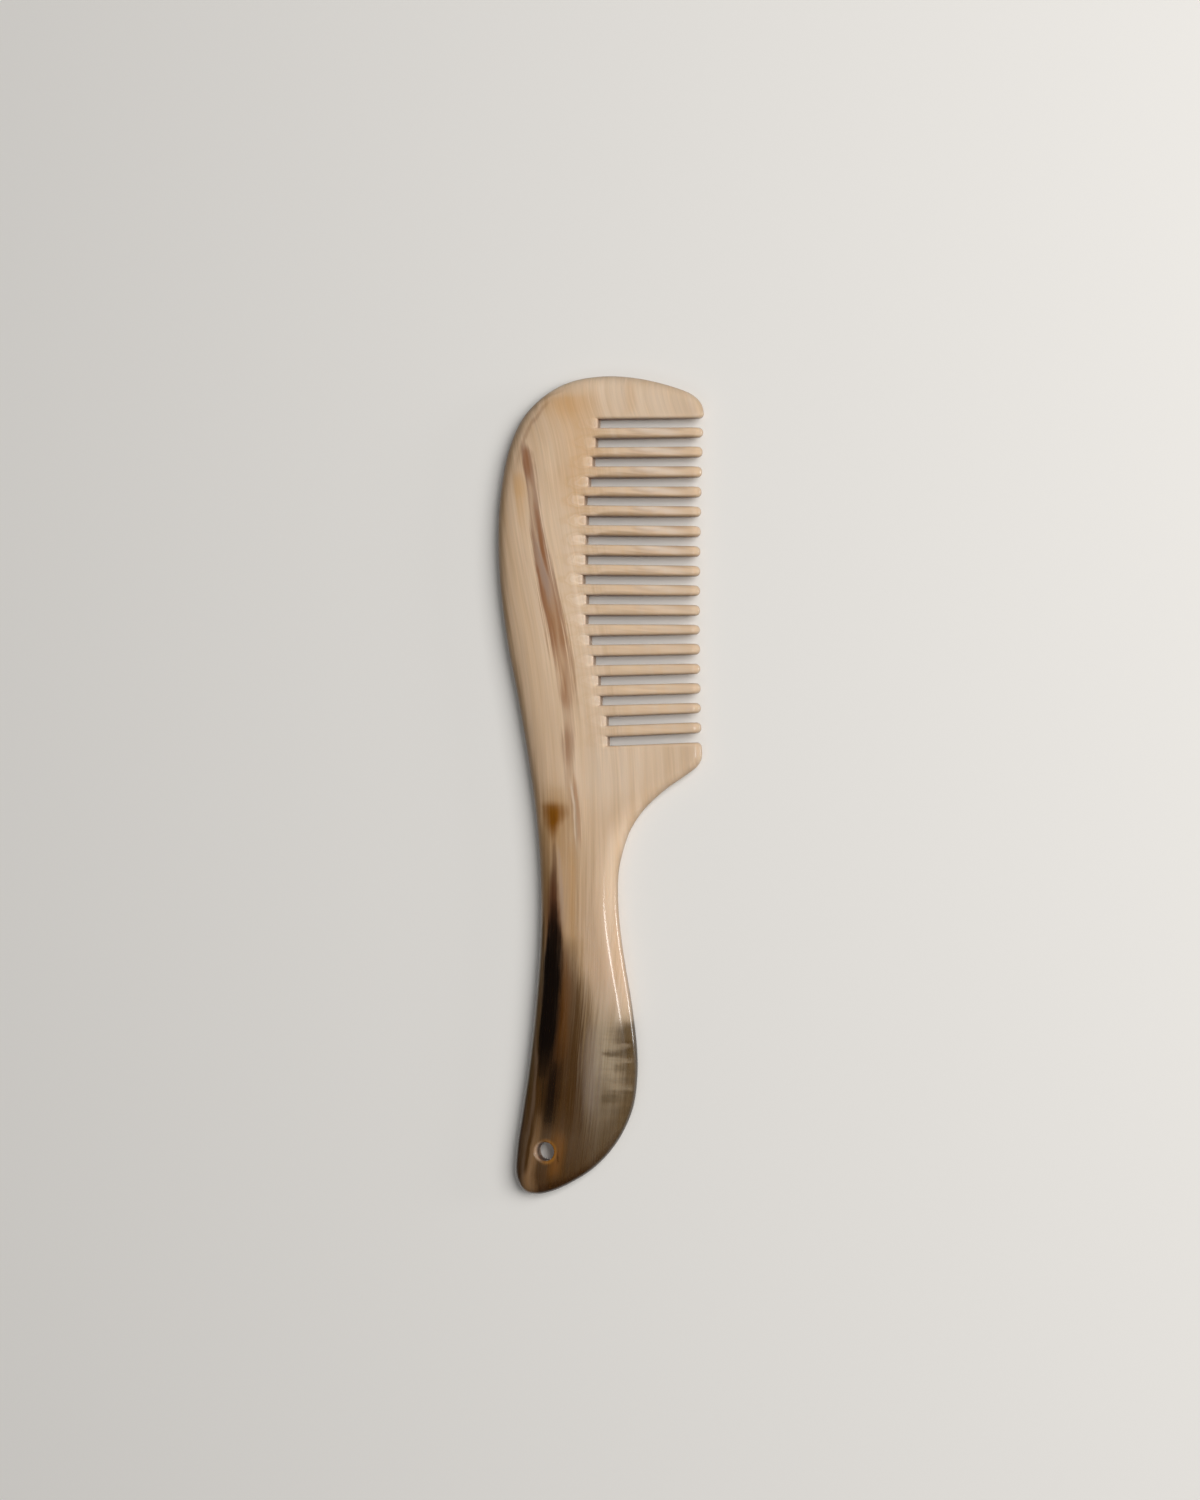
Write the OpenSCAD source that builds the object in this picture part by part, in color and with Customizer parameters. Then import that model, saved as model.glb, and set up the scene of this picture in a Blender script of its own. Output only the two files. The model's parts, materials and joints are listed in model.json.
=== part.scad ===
// Handled comb sawn and polished from one plate of horn.
// It lies flat, head towards +Y, teeth towards +X, both faces alike about the middle plane.
// The origin is on the surface it lies on, under the middle of its length and width.

/* [Overall size] */
// Length from the crown of the head to the end of the handle
comb_l = 186.5; // [176:0.5:200]
// Width from the spine to the tips of the guard teeth
comb_w = 48.8; // [46:0.1:52]

/* [Thickness] */
// Thickness of the plate along the spine and through the handle
plate_t = 4.8; // [4.2:0.1:6]
// Thickness where the teeth start
root_t = 3.5; // [3:0.1:4]
// Thickness at the tips of the teeth
tip_t = 2.2; // [2:0.1:2.8]
// Thickness at the end of the handle, around the hole
end_t = 4.1; // [3.6:0.1:4.8]

/* [Teeth] */
// Width of each sawn slot
slot_w = 2.05; // [1.7:0.05:2.3]
// Radius along the edges of the teeth
tooth_round = 0.7; // [0.4:0.05:0.8]
// Radius of the tips seen from above
tip_round = 1.1; // [0.8:0.05:1.15]
// How far the line of the tips is hollowed between the guard teeth
tip_hollow = 0.6; // [0:0.1:1]

/* [Edges] */
// Width of the rounding along the spine and the handle
spine_round = 5.2; // [4:0.1:5.5]
// Width of the rounding at the guard teeth and the tips
tip_edge = 1.8; // [1.2:0.1:2]

/* [Hanging hole] */
// Diameter of the hole through the handle's end
hole_d = 4.2; // [3.5:0.1:4.6]
// Width of the softened rim around the hole
rim_w = 0.65; // [0.4:0.05:0.8]
// Depth of the softened rim on each face
rim_h = 0.6; // [0.4:0.05:0.7]

/* [Hidden] */

// The outline and the slots are drawn at this size and stretched to the size above
drawn_l = 186.5;
drawn_w = 48.8;
stretch = [comb_w / drawn_w, comb_l / drawn_l];

crown = [0.6, 93.25];
heel_end = [-13.9, -93.25];
tip_x = comb_w / 2;

// Spine side of the outline, from the crown down the back of the head and handle
// [x, y]
spine_points = [
    crown, [-5, 92.8], [-9.8, 91.4], [-14.6, 88.5], [-18.9, 84],
    [-22, 77.1], [-23.8, 68], [-24.4, 58.7], [-23.9, 47.1], [-22, 33.2],
    [-19.1, 19.3], [-16.5, 5.5], [-14.4, -8.3], [-13.3, -22], [-13.3, -35.6],
    [-14.3, -50.5], [-15.7, -64], [-17.3, -75.2], [-18.5, -83.5], [-18.5, -89.5],
    [-16.6, -92.6], heel_end
];

// Upper edge of the top guard tooth, from the crown out to its tip
// [x, y]
guard_points = [
    crown, [4.6, 93.05], [9.4, 92.3], [14.1, 91.1], [18.8, 89.5],
    [21.4, 88.3], [23.4, 86.6], [24.35, 84.5], [24.4, 82]
];

// Lower guard tooth, neck and belly of the handle, down to the handle's end
// [x, y]
belly_points = [
    [24.4, 9.5], [24.4, 5.6], [23.4, 3.9], [20.6, 1.8], [15.9, -1.4],
    [11, -5.9], [7.9, -10.5], [6.2, -15.2], [5.2, -20], [5.1, -26],
    [5.7, -33], [6.7, -39.5], [8.6, -50.1], [9.8, -59], [10, -65.5],
    [9, -73], [5.6, -80.4], [0.4, -86.4], [-5, -90.1], [-10.4, -92.6],
    heel_end
];

// Sawn slots from the top, each cut by hand to its own depth and lean
// [x of the root, y at the root, lean in degrees]
slot_rows = [
    [-0.3, 82.3, -1.8], [-0.8, 77.85, -1.5], [-1.5, 73.5, -1.8],
    [-2.4, 68.9, -1.7], [-3.3, 64.65, -2.2], [-2.9, 60.1, -2.0],
    [-3.0, 55.65, -2.2], [-3.0, 51.1, -2.0], [-3.6, 46.6, -1.8],
    [-2.7, 42.0, -1.5], [-2.8, 37.4, -1.2], [-1.9, 32.65, -0.1],
    [-0.9, 28.0, 0.2], [0.3, 23.4, 0.8], [0.8, 18.85, 1.0],
    [2.3, 14.2, 1.8], [2.6, 9.6, 2.1]
];
slot_count = len(slot_rows);

hole_at = [-11.2, -83.4];

// The plate thins towards the teeth between these two places
thin_from = -15;
thin_to = 1;
// The handle keeps its full thickness below this height, the head is thinned above the next
neck_low = -28;
neck_high = 4;
// The handle's end thins below this height
end_from = -45;
// The rounding narrows towards the tips from here
narrow_from = 2;

// Steps of the rounding, as shares of its width from the edge inwards
spine_steps = [0, 0.04, 0.15, 0.42, 1];
tip_steps = [1, 0.45, 0.1, 0];
// Steps from the spine's rounding to the root of a slot, and one along the tooth
plate_steps = [0.4, 0.7];
saw_steps = [1, 0.25, 0];
along_tooth = 0.45;
middle_count = len(plate_steps) + len(saw_steps) + 1;
// Most of a narrow section that the rounding may take on each side
spine_share = 0.42;
tip_share = 0.3;

// Depths of the cross-sections below the crown, and of those above the handle's end
crown_steps = [0.05, 0.2, 0.5, 1, 1.8, 3, 4.6, 6.4, 7.5, 8.3];
end_steps = [5, 3, 1.8, 1, 0.5, 0.2, 0.05];
// Offsets of the cross-sections from a slot's side into the tooth beside it
tooth_steps = [0, 0.2, tooth_round];
// Heights of the cross-sections through the heel tooth and the neck, then the handle's spacing
heel_steps = [6.2, 5, 4.2, 3.4, 2.4, 1.2, -0.3, -2.2, -4.5, -7.2, -10.5, -14, -18];
handle_from = -22;
handle_step = 4.2;

function fit(p) = [p.x * stretch.x, p.y * stretch.y];
function lerp(a, b, t) = a + (b - a) * t;
function clamp(t) = min(max(t, 0), 1);
function ease(t) = let (u = clamp(t)) u * u * (3 - 2 * u);

// Smooth curve through points, with knots spaced by the root of each chord
samples = 5;
function knot(a, b) = sqrt(norm(b - a));
function slope(a, b, c) =
    let (u = knot(a, b), v = knot(b, c))
    (b - a) / u - (c - a) / (u + v) + (c - b) / v;
function hermite(p, q, m, n, t) =
    (2 * t ^ 3 - 3 * t ^ 2 + 1) * p + (t ^ 3 - 2 * t ^ 2 + t) * m
    + (3 * t ^ 2 - 2 * t ^ 3) * q + (t ^ 3 - t ^ 2) * n;
function curve(points) =
    let (
        last = len(points) - 1,
        all = concat([2 * points[0] - points[1]], points, [2 * points[last] - points[last - 1]])
    )
    concat([for (i = [1:last], k = [0:samples - 1])
        let (
            w = knot(all[i], all[i + 1]),
            m = slope(all[i - 1], all[i], all[i + 1]) * w,
            n = slope(all[i], all[i + 1], all[i + 2]) * w
        )
        hermite(all[i], all[i + 1], m, n, k / samples)
    ], [points[last]]);

// The crown and the handle's end are passed level, so each side runs on past them
spine_run = curve(concat([guard_points[1]], spine_points, [belly_points[len(belly_points) - 2]]));
spine_line = [for (i = [samples:len(spine_run) - 1 - samples]) fit(spine_run[i])];
guard_run = curve(concat([spine_points[1]], guard_points));
guard_line = [for (i = [samples:len(guard_run) - 1]) fit(guard_run[i])];
belly_run = curve(concat(belly_points, [spine_points[len(spine_points) - 2]]));
belly_line = [for (i = [0:len(belly_run) - 1 - samples]) fit(belly_run[i])];

// Sides of the outline at a height
function by_height(line) = [for (i = [len(line) - 1:-1:0]) [line[i].y, line[i].x]];
spine_table = by_height(spine_line);
guard_table = by_height(guard_line);
belly_table = by_height(belly_line);
top_y = fit(slot_rows[0]).y;
low_y = fit(slot_rows[slot_count - 1]).y;
function tip_line(y) =
    let (u = (2 * y - top_y - low_y) / (top_y - low_y))
    tip_x - tip_hollow * (1 - min(u * u, 1));

// Distance from a point to the outline, left open along the tips
outline = concat([for (i = [len(guard_line) - 1:-1:0]) guard_line[i]],
                 [for (i = [1:len(spine_line) - 1]) spine_line[i]],
                 [for (i = [len(belly_line) - 2:-1:0]) belly_line[i]]);
function gap_to(p, a, b) =
    let (d = b - a, t = clamp((p - a) * d / (d * d)))
    norm(p - a - t * d);
function edge_gap(p) = min([for (i = [1:len(outline) - 1]) gap_to(p, outline[i - 1], outline[i])]);

// Half the plate's thickness before its edges are rounded
function half_plate(x, y) =
    let (
        first_root = fit(slot_rows[0]).x,
        wedge = lerp(root_t, tip_t, (x - first_root) / (tip_x - first_root)) / 2,
        head = lerp(plate_t / 2, wedge, ease((x - thin_from) / (thin_to - thin_from))),
        handle = lerp(plate_t, end_t, ease((end_from - y) / (comb_l / 2 + end_from))) / 2
    )
    lerp(handle, head, ease((y - neck_low) / (neck_high - neck_low)));
function edge_width(x) = lerp(spine_round, tip_edge, ease((x - narrow_from) / (tip_x - narrow_from)));
function rounding(gap, width) = sqrt(1 - (1 - clamp(gap / width)) ^ 2);
function arc_drop(gap, radius) = radius - sqrt(radius ^ 2 - (radius - min(gap, radius)) ^ 2);

// A cross-section: its height at the roots, its lean, the root beside it, its gap to that
// slot, and whether it is a plain section, one through a tooth or one through a slot
PLAIN = 0;
TOOTH = 1;
SLOT = 2;
function section(y, lean, root, gap, kind) = [y, lean, root, gap, kind];
function plain(y) = section(y, 0, 0, tooth_round, PLAIN);
function slot_side(i, side, gap, kind) =
    let (row = slot_rows[i], at = fit([row.x, row.y]))
    section(at.y + side * (slot_w / 2 + gap), tan(row.z), at.x, gap, kind);
sections = concat(
    [for (d = crown_steps) plain(comb_l / 2 - d)],
    [for (i = [0:slot_count - 1]) each concat(
        [for (k = [len(tooth_steps) - 1:-1:0]) slot_side(i, 1, tooth_steps[k], TOOTH)],
        [slot_side(i, 1, 0, SLOT), slot_side(i, -1, 0, SLOT)],
        [for (k = [0:len(tooth_steps) - 1]) slot_side(i, -1, tooth_steps[k], TOOTH)]
    )],
    [for (y = heel_steps) plain(y * stretch.y)],
    [for (y = [handle_from:-handle_step:2 * end_steps[1] - comb_l / 2]) plain(y)],
    [for (d = end_steps) plain(d - comb_l / 2)]
);

function right_side(s) =
    let (
        y = s[0] + s[1] * (tip_x - s[2]),
        side = y > top_y ? lookup(y, guard_table)
            : y < low_y ? lookup(y, belly_table) : tip_line(y)
    )
    s[4] == TOOTH ? side - arc_drop(s[3], tip_round) : side;

// Places across a section, from the spine to the tips
function columns(s) =
    let (
        left = lookup(s[0], spine_table),
        right = right_side(s),
        span = right - left,
        left_w = min(spine_round, spine_share * span),
        right_w = min(edge_width(right), tip_share * span),
        from = left + left_w,
        to = right - right_w,
        root = s[2],
        plain_middle = [for (k = [1:middle_count]) lerp(from, to, k / (middle_count + 1))],
        tooth_middle = concat([for (t = plate_steps) lerp(from, root, t)],
                              [for (t = saw_steps) root - t * tooth_round],
                              [lerp(root, to, along_tooth)]),
        middle = s[4] == PLAIN ? plain_middle : tooth_middle
    )
    concat([for (t = spine_steps) left + t * left_w], middle,
           [for (t = tip_steps) right - t * right_w]);

function half_height(s, x, right) =
    let (
        y = s[0] + s[1] * max(x - s[2], 0),
        gap = min(edge_gap([x, y]), right - x),
        past_root = s[4] == PLAIN ? 0 : max(s[2] - x, 0),
        saw_gap = norm([past_root, s[3]])
    )
    (half_plate(x, y) - arc_drop(saw_gap, tooth_round)) * rounding(gap, edge_width(x));

// Upper half of a section from the spine to the tips; in a slot it ends on the root's wall
root_column = len(spine_steps) + middle_count - 2;
function upper_half(s) =
    let (at = columns(s), right = at[len(at) - 1])
    [for (k = [0:len(at) - 1])
        let (
            in_slot = s[4] == SLOT && k > root_column,
            x = in_slot ? s[2] : at[k],
            rim = k == 0 || k == len(at) - 1
        )
        [x, s[0] + s[1] * max(x - s[2], 0), in_slot || rim ? 0 : half_height(s, x, right)]
    ];
function ring(s) =
    let (top = upper_half(s), n = len(top))
    concat(top, [for (k = [n - 2:-1:1]) [top[k].x, top[k].y, -top[k].z]]);

module blank() {
    rings = [for (s = sections) ring(s)];
    size = len(rings[0]);
    count = len(rings);
    poles = [[crown.x * stretch.x, comb_l / 2, 0], [heel_end.x * stretch.x, -comb_l / 2, 0]];
    points = concat([for (r = rings) each r], poles);
    // Repeated corners of a face, where columns meet on a root's wall, are left out
    function tidy(face) = [for (i = [0:len(face) - 1])
        if (points[face[i]] != points[face[(i + 1) % len(face)]]) face[i]];
    strips = [for (r = [0:count - 2], k = [0:size - 1])
        let (a = r * size + k, b = r * size + (k + 1) % size)
        each [tidy([a, b, b + size]), tidy([a, b + size, a + size])]];
    last = (count - 1) * size;
    caps = [for (k = [0:size - 1]) let (next = (k + 1) % size)
        each [[count * size, next, k], [count * size + 1, last + k, last + next]]];
    translate([0, 0, plate_t / 2])
        polyhedron(points, [for (f = concat(strips, caps)) if (len(f) > 2) f]);
}

// The hole with its softened rim on both faces
module hole_cut() {
    face = half_plate(hole_at.x, fit(hole_at).y);
    r = hole_d / 2;
    translate([fit(hole_at).x, fit(hole_at).y, plate_t / 2]) {
        cylinder(h = 2 * plate_t, r = r, center = true, $fn = 48);
        for (side = [0, 1]) mirror([0, 0, side])
            translate([0, 0, face - rim_h])
                cylinder(h = 2 * rim_h, r1 = r, r2 = r + 2 * rim_w, $fn = 48);
    }
}

module comb() {
    color([0.86, 0.75, 0.65])
        difference() {
            blank();
            hole_cut();
        }
}

comb();
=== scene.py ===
import json
import math
from collections import namedtuple

import bmesh
import bpy
import numpy as np
from mathutils import Matrix, Vector


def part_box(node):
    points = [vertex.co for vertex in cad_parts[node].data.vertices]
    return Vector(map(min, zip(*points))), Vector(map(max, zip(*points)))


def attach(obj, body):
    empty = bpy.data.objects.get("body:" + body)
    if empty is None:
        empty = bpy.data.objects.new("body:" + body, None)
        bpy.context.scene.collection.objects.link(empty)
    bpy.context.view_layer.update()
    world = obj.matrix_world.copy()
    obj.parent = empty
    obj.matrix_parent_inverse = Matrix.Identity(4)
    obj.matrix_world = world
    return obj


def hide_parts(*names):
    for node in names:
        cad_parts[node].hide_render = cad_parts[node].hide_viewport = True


# A handled comb sawn and polished from one plate of horn, lying flat on a pale floor.
# Sizes and places are in millimetres in the part's own frame, and MM turns them into metres.

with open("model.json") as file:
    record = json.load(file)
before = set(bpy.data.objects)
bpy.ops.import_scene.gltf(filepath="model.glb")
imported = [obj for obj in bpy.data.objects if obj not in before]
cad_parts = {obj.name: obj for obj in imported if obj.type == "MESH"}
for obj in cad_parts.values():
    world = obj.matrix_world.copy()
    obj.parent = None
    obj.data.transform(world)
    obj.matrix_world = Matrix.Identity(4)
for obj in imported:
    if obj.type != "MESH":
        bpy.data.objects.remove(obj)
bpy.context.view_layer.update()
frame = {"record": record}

MM = 0.001

comb_low, comb_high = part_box("comb")
LENGTH = (comb_high.y - comb_low.y) / MM
PLATE = (comb_high.z - comb_low.z) / MM
TIP_X = 24.4

# Thickness where the teeth start, at their tips, and at the end of the handle
ROOT_T = 3.5
TIP_T = 2.2
END_T = 4.1

# Width of a sawn slot, the rounding along the teeth, the rounding of their tips seen from
# above, and how far the line of the tips is hollow
SLOT_W = 2.05
TOOTH_ROUND = 0.7
TIP_ROUND = 1.1
TIP_HOLLOW = 0.6

# Width of the rounding along the spine and handle, and at the guard teeth and the tips
SPINE_ROUND = 5.2
TIP_EDGE = 1.8

# Softened rim of the hanging hole
RIM_W = 0.65
RIM_H = 0.6

CROWN = (0.6, LENGTH / 2)
HEEL_END = (-13.9, -LENGTH / 2)

# Outline, [x, y]: the spine side from the crown down the back of the head and handle
SPINE = [
    CROWN, (-5, 92.8), (-9.8, 91.4), (-14.6, 88.5), (-18.9, 84),
    (-22, 77.1), (-23.8, 68), (-24.4, 58.7), (-23.9, 47.1), (-22, 33.2),
    (-19.1, 19.3), (-16.5, 5.5), (-14.4, -8.3), (-13.3, -22), (-13.3, -35.6),
    (-14.3, -50.5), (-15.7, -64), (-17.3, -75.2), (-18.5, -83.5), (-18.5, -89.5),
    (-16.6, -92.6), HEEL_END,
]
# The upper edge of the top guard tooth, from the crown out to its tip
GUARD = [
    CROWN, (4.6, 93.05), (9.4, 92.3), (14.1, 91.1), (18.8, 89.5),
    (21.4, 88.3), (23.4, 86.6), (24.35, 84.5), (24.4, 82),
]
# The lower guard tooth, neck and belly of the handle, down to the handle's end
BELLY = [
    (24.4, 9.5), (24.4, 5.6), (23.4, 3.9), (20.6, 1.8), (15.9, -1.4),
    (11, -5.9), (7.9, -10.5), (6.2, -15.2), (5.2, -20), (5.1, -26),
    (5.7, -33), (6.7, -39.5), (8.6, -50.1), (9.8, -59), (10, -65.5),
    (9, -73), (5.6, -80.4), (0.4, -86.4), (-5, -90.1), (-10.4, -92.6),
    HEEL_END,
]

# Sawn slots from the top, each cut by hand: x of the root, y at the root, lean in degrees, and
# the run behind the root over which the polishing wheel left the slot
Slot = namedtuple("Slot", "x y lean run")
SLOTS = [Slot(*row) for row in (
    (-0.3, 82.3, -1.8, 1.6), (-0.8, 77.85, -1.5, 1.8), (-1.5, 73.5, -1.8, 2.2),
    (-2.4, 68.9, -1.7, 2.2), (-3.3, 64.65, -2.2, 2.8), (-2.9, 60.1, -2.0, 3.4),
    (-3.0, 55.65, -2.2, 3.6), (-3.0, 51.1, -2.0, 3.4), (-3.6, 46.6, -1.8, 3.0),
    (-2.7, 42.0, -1.5, 2.4), (-2.8, 37.4, -1.2, 2.2), (-1.9, 32.65, -0.1, 2.2),
    (-0.9, 28.0, 0.2, 2.2), (0.3, 23.4, 0.8, 2.0), (0.8, 18.85, 1.0, 2.0),
    (2.3, 14.2, 1.8, 1.8), (2.6, 9.6, 2.1, 1.6),
)]

# The plate turns into the wedge of the teeth between these x, and the handle into the head
# between these y. The handle thins below the next y, and past the last x the edge's rounding
# narrows.
THIN_FROM, THIN_TO = -15, 1
NECK_LOW, NECK_HIGH = -28, 4
END_FROM = -45
NARROW_FROM = 2

# Steps of the smooth outline from one of its points to the next
CURVE_STEPS = 14


def lerp(a, b, t):
    return a + (b - a) * t


def ease(t):
    u = np.clip(t, 0, 1)
    return u * u * (3 - 2 * u)


def smooth_curve(points):
    """A smooth run through points, with knots spaced by the root of each chord."""
    p = np.array(points, float)
    p = np.vstack([2 * p[0] - p[1], p, 2 * p[-1] - p[-2]])
    knot = np.sqrt(np.linalg.norm(np.diff(p, axis=0), axis=1))
    run = []
    for i in range(1, len(p) - 2):
        before, span, after = knot[i - 1:i + 2]
        chord = (p[i + 1] - p[i]) / span
        leave = chord + (p[i] - p[i - 1]) / before - (p[i + 1] - p[i - 1]) / (before + span)
        arrive = chord + (p[i + 2] - p[i + 1]) / after - (p[i + 2] - p[i]) / (span + after)
        for t in np.arange(CURVE_STEPS) / CURVE_STEPS:
            run.append((2 * t**3 - 3 * t**2 + 1) * p[i] + (3 * t**2 - 2 * t**3) * p[i + 1]
                       + (t**3 - 2 * t**2 + t) * span * leave + (t**3 - t**2) * span * arrive)
    return np.array(run + [p[-2]])


# The crown and the handle's end are passed level, so each side runs on past them
spine_line = smooth_curve([GUARD[1], *SPINE, BELLY[-2]])[CURVE_STEPS:-CURVE_STEPS]
guard_line = smooth_curve([SPINE[1], *GUARD])[CURVE_STEPS:]
belly_line = smooth_curve([*BELLY, SPINE[-2]])[:-CURVE_STEPS]
outline = np.vstack([guard_line[::-1], spine_line[1:], belly_line[-2::-1]])


def side_at(line, y):
    """x of one side of the outline at a height."""
    return np.interp(y, line[::-1, 1], line[::-1, 0])


def right_at(y):
    """x of the side with the teeth; between the guard teeth it is the line of the tips."""
    top, low = SLOTS[0].y, SLOTS[-1].y
    u = (2 * y - top - low) / (top - low)
    tips = TIP_X - TIP_HOLLOW * (1 - np.minimum(u * u, 1))
    return np.where(y > top, side_at(guard_line, y), np.where(y < low, side_at(belly_line, y), tips))


def edge_gap(x, y):
    """Distance from places to the outline, which is left open along the tips."""
    start, along = outline[:-1], np.diff(outline, axis=0)
    places = np.stack(np.broadcast_arrays(x, y), -1)[:, None]
    t = np.clip(((places - start) * along).sum(-1) / (along * along).sum(-1), 0, 1)
    return np.linalg.norm(places - start - t[..., None] * along, axis=-1).min(1)


def half_plate(x, y):
    """Half the plate's thickness before its edges are rounded."""
    first_root = SLOTS[0].x
    wedge = lerp(ROOT_T, TIP_T, (x - first_root) / (TIP_X - first_root)) / 2
    head = lerp(PLATE / 2, wedge, ease((x - THIN_FROM) / (THIN_TO - THIN_FROM)))
    handle = lerp(PLATE, END_T, ease((END_FROM - y) / (LENGTH / 2 + END_FROM))) / 2
    return lerp(handle, head, ease((y - NECK_LOW) / (NECK_HIGH - NECK_LOW)))


def edge_width(x):
    return lerp(SPINE_ROUND, TIP_EDGE, ease((x - NARROW_FROM) / (TIP_X - NARROW_FROM)))


def rounding(gap, width):
    """Share of the thickness that a rounded edge leaves at a gap from the edge."""
    return np.sqrt(1 - (1 - np.clip(gap / width, 0, 1)) ** 2)


def arc_drop(gap, radius):
    """How far a rounded corner falls away at a gap from the corner."""
    return radius - np.sqrt(radius**2 - (radius - np.minimum(gap, radius)) ** 2)


# A row of points across the comb: its height at the roots, the slot beside it and its gap to
# that slot. A plain row has no slot beside it.
Row = namedtuple("Row", "y slot gap kind")
PLAIN, TOOTH, SLOT = "plain", "tooth", "slot"

# Rows at the crown and at the handle's end, and how far in they go; rows down the handle, and
# how they crowd below the heel; the gap of the heel's first row from the last slot's rows; and
# rows beside a slot, by their gap from it, and across it, by their share of its width
EDGE_ROWS = 24
CROWN_REACH = 8.2
END_REACH = 10
HANDLE_ROWS = 110
HANDLE_CROWD = 1.25
HEEL_GAP = 0.4
TOOTH_OFFSETS = (0, 0.03, 0.1, 0.2, 0.33, 0.5, 0.7, 0.9, 1.1)
SLOT_SHARES = (0.12, 0.35, 0.65, 0.88)


def plain_row(y):
    return Row(y, None, TOOTH_ROUND, PLAIN)


def slot_rows(slot):
    """Rows from above one slot to below it: down its upper side, across it, and out again."""
    upper, lower = slot.y + SLOT_W / 2, slot.y - SLOT_W / 2
    above = [Row(upper + gap, slot, gap, TOOTH) for gap in reversed(TOOTH_OFFSETS)]
    across = [Row(lerp(upper, lower, t), slot, 0, SLOT) for t in SLOT_SHARES]
    below = [Row(lower - gap, slot, gap, TOOTH) for gap in TOOTH_OFFSETS]
    return above + across + below


def all_rows():
    """Rows from the crown down to the handle's end, crowded where the edge turns."""
    crowded = (np.arange(EDGE_ROWS + 1) / EDGE_ROWS) ** 2
    crown = [plain_row(LENGTH / 2 - CROWN_REACH * t) for t in crowded]
    head = [row for slot in SLOTS for row in slot_rows(slot)]
    start, stop = head[-1].y - HEEL_GAP, END_REACH - LENGTH / 2
    shares = (np.arange(HANDLE_ROWS) / HANDLE_ROWS) ** HANDLE_CROWD
    handle = [plain_row(lerp(start, stop, t)) for t in shares]
    end = [plain_row(END_REACH * t - LENGTH / 2) for t in crowded[::-1]]
    return crown + head + handle + end


def turned(count):
    """Shares of a rounding's width from its edge inwards, even along its arc."""
    return 1 - np.cos(np.linspace(0, math.pi / 2, count))


# Columns across a row, as shares of each stretch: the spine's rounding, the plate, the run
# behind the root, the tooth, and the tip's rounding
SPINE_STEPS = turned(10)
PLATE_STEPS = np.linspace(0, 1, 15)[1:-1]
SAW_STEPS = turned(8)[:0:-1]
TOOTH_STEPS = np.linspace(0, 1, 20)[:-1]
TIP_STEPS = turned(9)[::-1]
ROOT_COLUMN = len(SPINE_STEPS) + len(PLATE_STEPS) + len(SAW_STEPS)

# Most of a narrow row that the rounding may take on each side
SPINE_SHARE = 0.42
TIP_SHARE = 0.3
# A plain row keeps its columns in line with the roots at this share of its middle, and packs
# those behind the root into this share of the way to the spine
PLAIN_ROOT_SHARE = 0.46
PLAIN_RUN_SHARE = 0.2


def row_points(row):
    """x, y and half height of the points across a row, from the spine to the tips."""
    slot = row.slot
    lean = math.tan(math.radians(slot.lean)) if slot else 0
    left = side_at(spine_line, row.y)
    right = float(right_at(row.y + lean * (TIP_X - slot.x) if slot else row.y))
    if row.kind == TOOTH:
        right -= arc_drop(row.gap, TIP_ROUND)
    span = right - left
    inner_left = left + min(SPINE_ROUND, SPINE_SHARE * span)
    inner_right = right - min(edge_width(right), TIP_SHARE * span)
    root = slot.x if slot else lerp(inner_left, inner_right, PLAIN_ROOT_SHARE)
    run = slot.run if slot else PLAIN_RUN_SHARE * (root - inner_left)
    x = np.concatenate([
        left + SPINE_STEPS * (inner_left - left),
        lerp(inner_left, root - run, PLATE_STEPS),
        root - SAW_STEPS * run,
        lerp(root, inner_right, TOOTH_STEPS),
        right - TIP_STEPS * (right - inner_right),
    ])
    y = row.y + lean * np.maximum(x - root, 0)
    gap = np.minimum(edge_gap(x, y), right - x)
    behind = np.maximum(root - x, 0) * TOOTH_ROUND / run if slot else 0
    height = half_plate(x, y) - arc_drop(np.hypot(behind, row.gap), TOOTH_ROUND)
    z = height * rounding(gap, edge_width(x))
    z[[0, -1]] = 0
    return np.stack([x, y, z], -1)


def comb_mesh():
    """A grid laid over the comb's upper face, its rows, and the row and column of each point."""
    rows = all_rows()
    table = np.array([row_points(row) for row in rows]) * MM
    table[0] = (CROWN[0] * MM, CROWN[1] * MM, 0)
    table[-1] = (HEEL_END[0] * MM, HEEL_END[1] * MM, 0)
    row_last, column_last = len(table) - 1, len(table[0]) - 1
    shell = bmesh.new()
    bmesh.ops.create_grid(shell, x_segments=column_last, y_segments=row_last, size=1)
    place = {}
    for v in shell.verts:
        column = round((v.co.x + 1) / 2 * column_last)
        row = round((1 - v.co.y) / 2 * row_last)
        place[v.index] = (row, column)
        v.co = table[row][column]
    return shell, rows, place


# Slot of the sawn horn among the comb's materials, after the polished horn
SAWN = 1


def drop_walls(shell, rim):
    """Drops sawn walls from a rim of the polished face to the middle of the plate."""
    for part in bmesh.ops.extrude_edge_only(shell, edges=rim)["geom"]:
        if isinstance(part, bmesh.types.BMVert):
            part.co.z = 0
        if isinstance(part, bmesh.types.BMFace):
            part.material_index = SAWN


def saw_slots(shell, rows, place):
    """Opens the slots between the teeth."""
    wall_row = [row.kind != PLAIN and row.gap == 0 for row in rows]

    def in_slot(face):
        spots = [place[v.index] for v in face.verts]
        return all(wall_row[row] and column >= ROOT_COLUMN for row, column in spots)

    opened = {face for face in shell.faces if in_slot(face)}
    rims = [edge for edge in shell.edges
            if len(opened.intersection(edge.link_faces)) == 1 and len(edge.link_faces) == 2]
    bmesh.ops.delete(shell, geom=list(opened), context="FACES")
    drop_walls(shell, rims)


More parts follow.
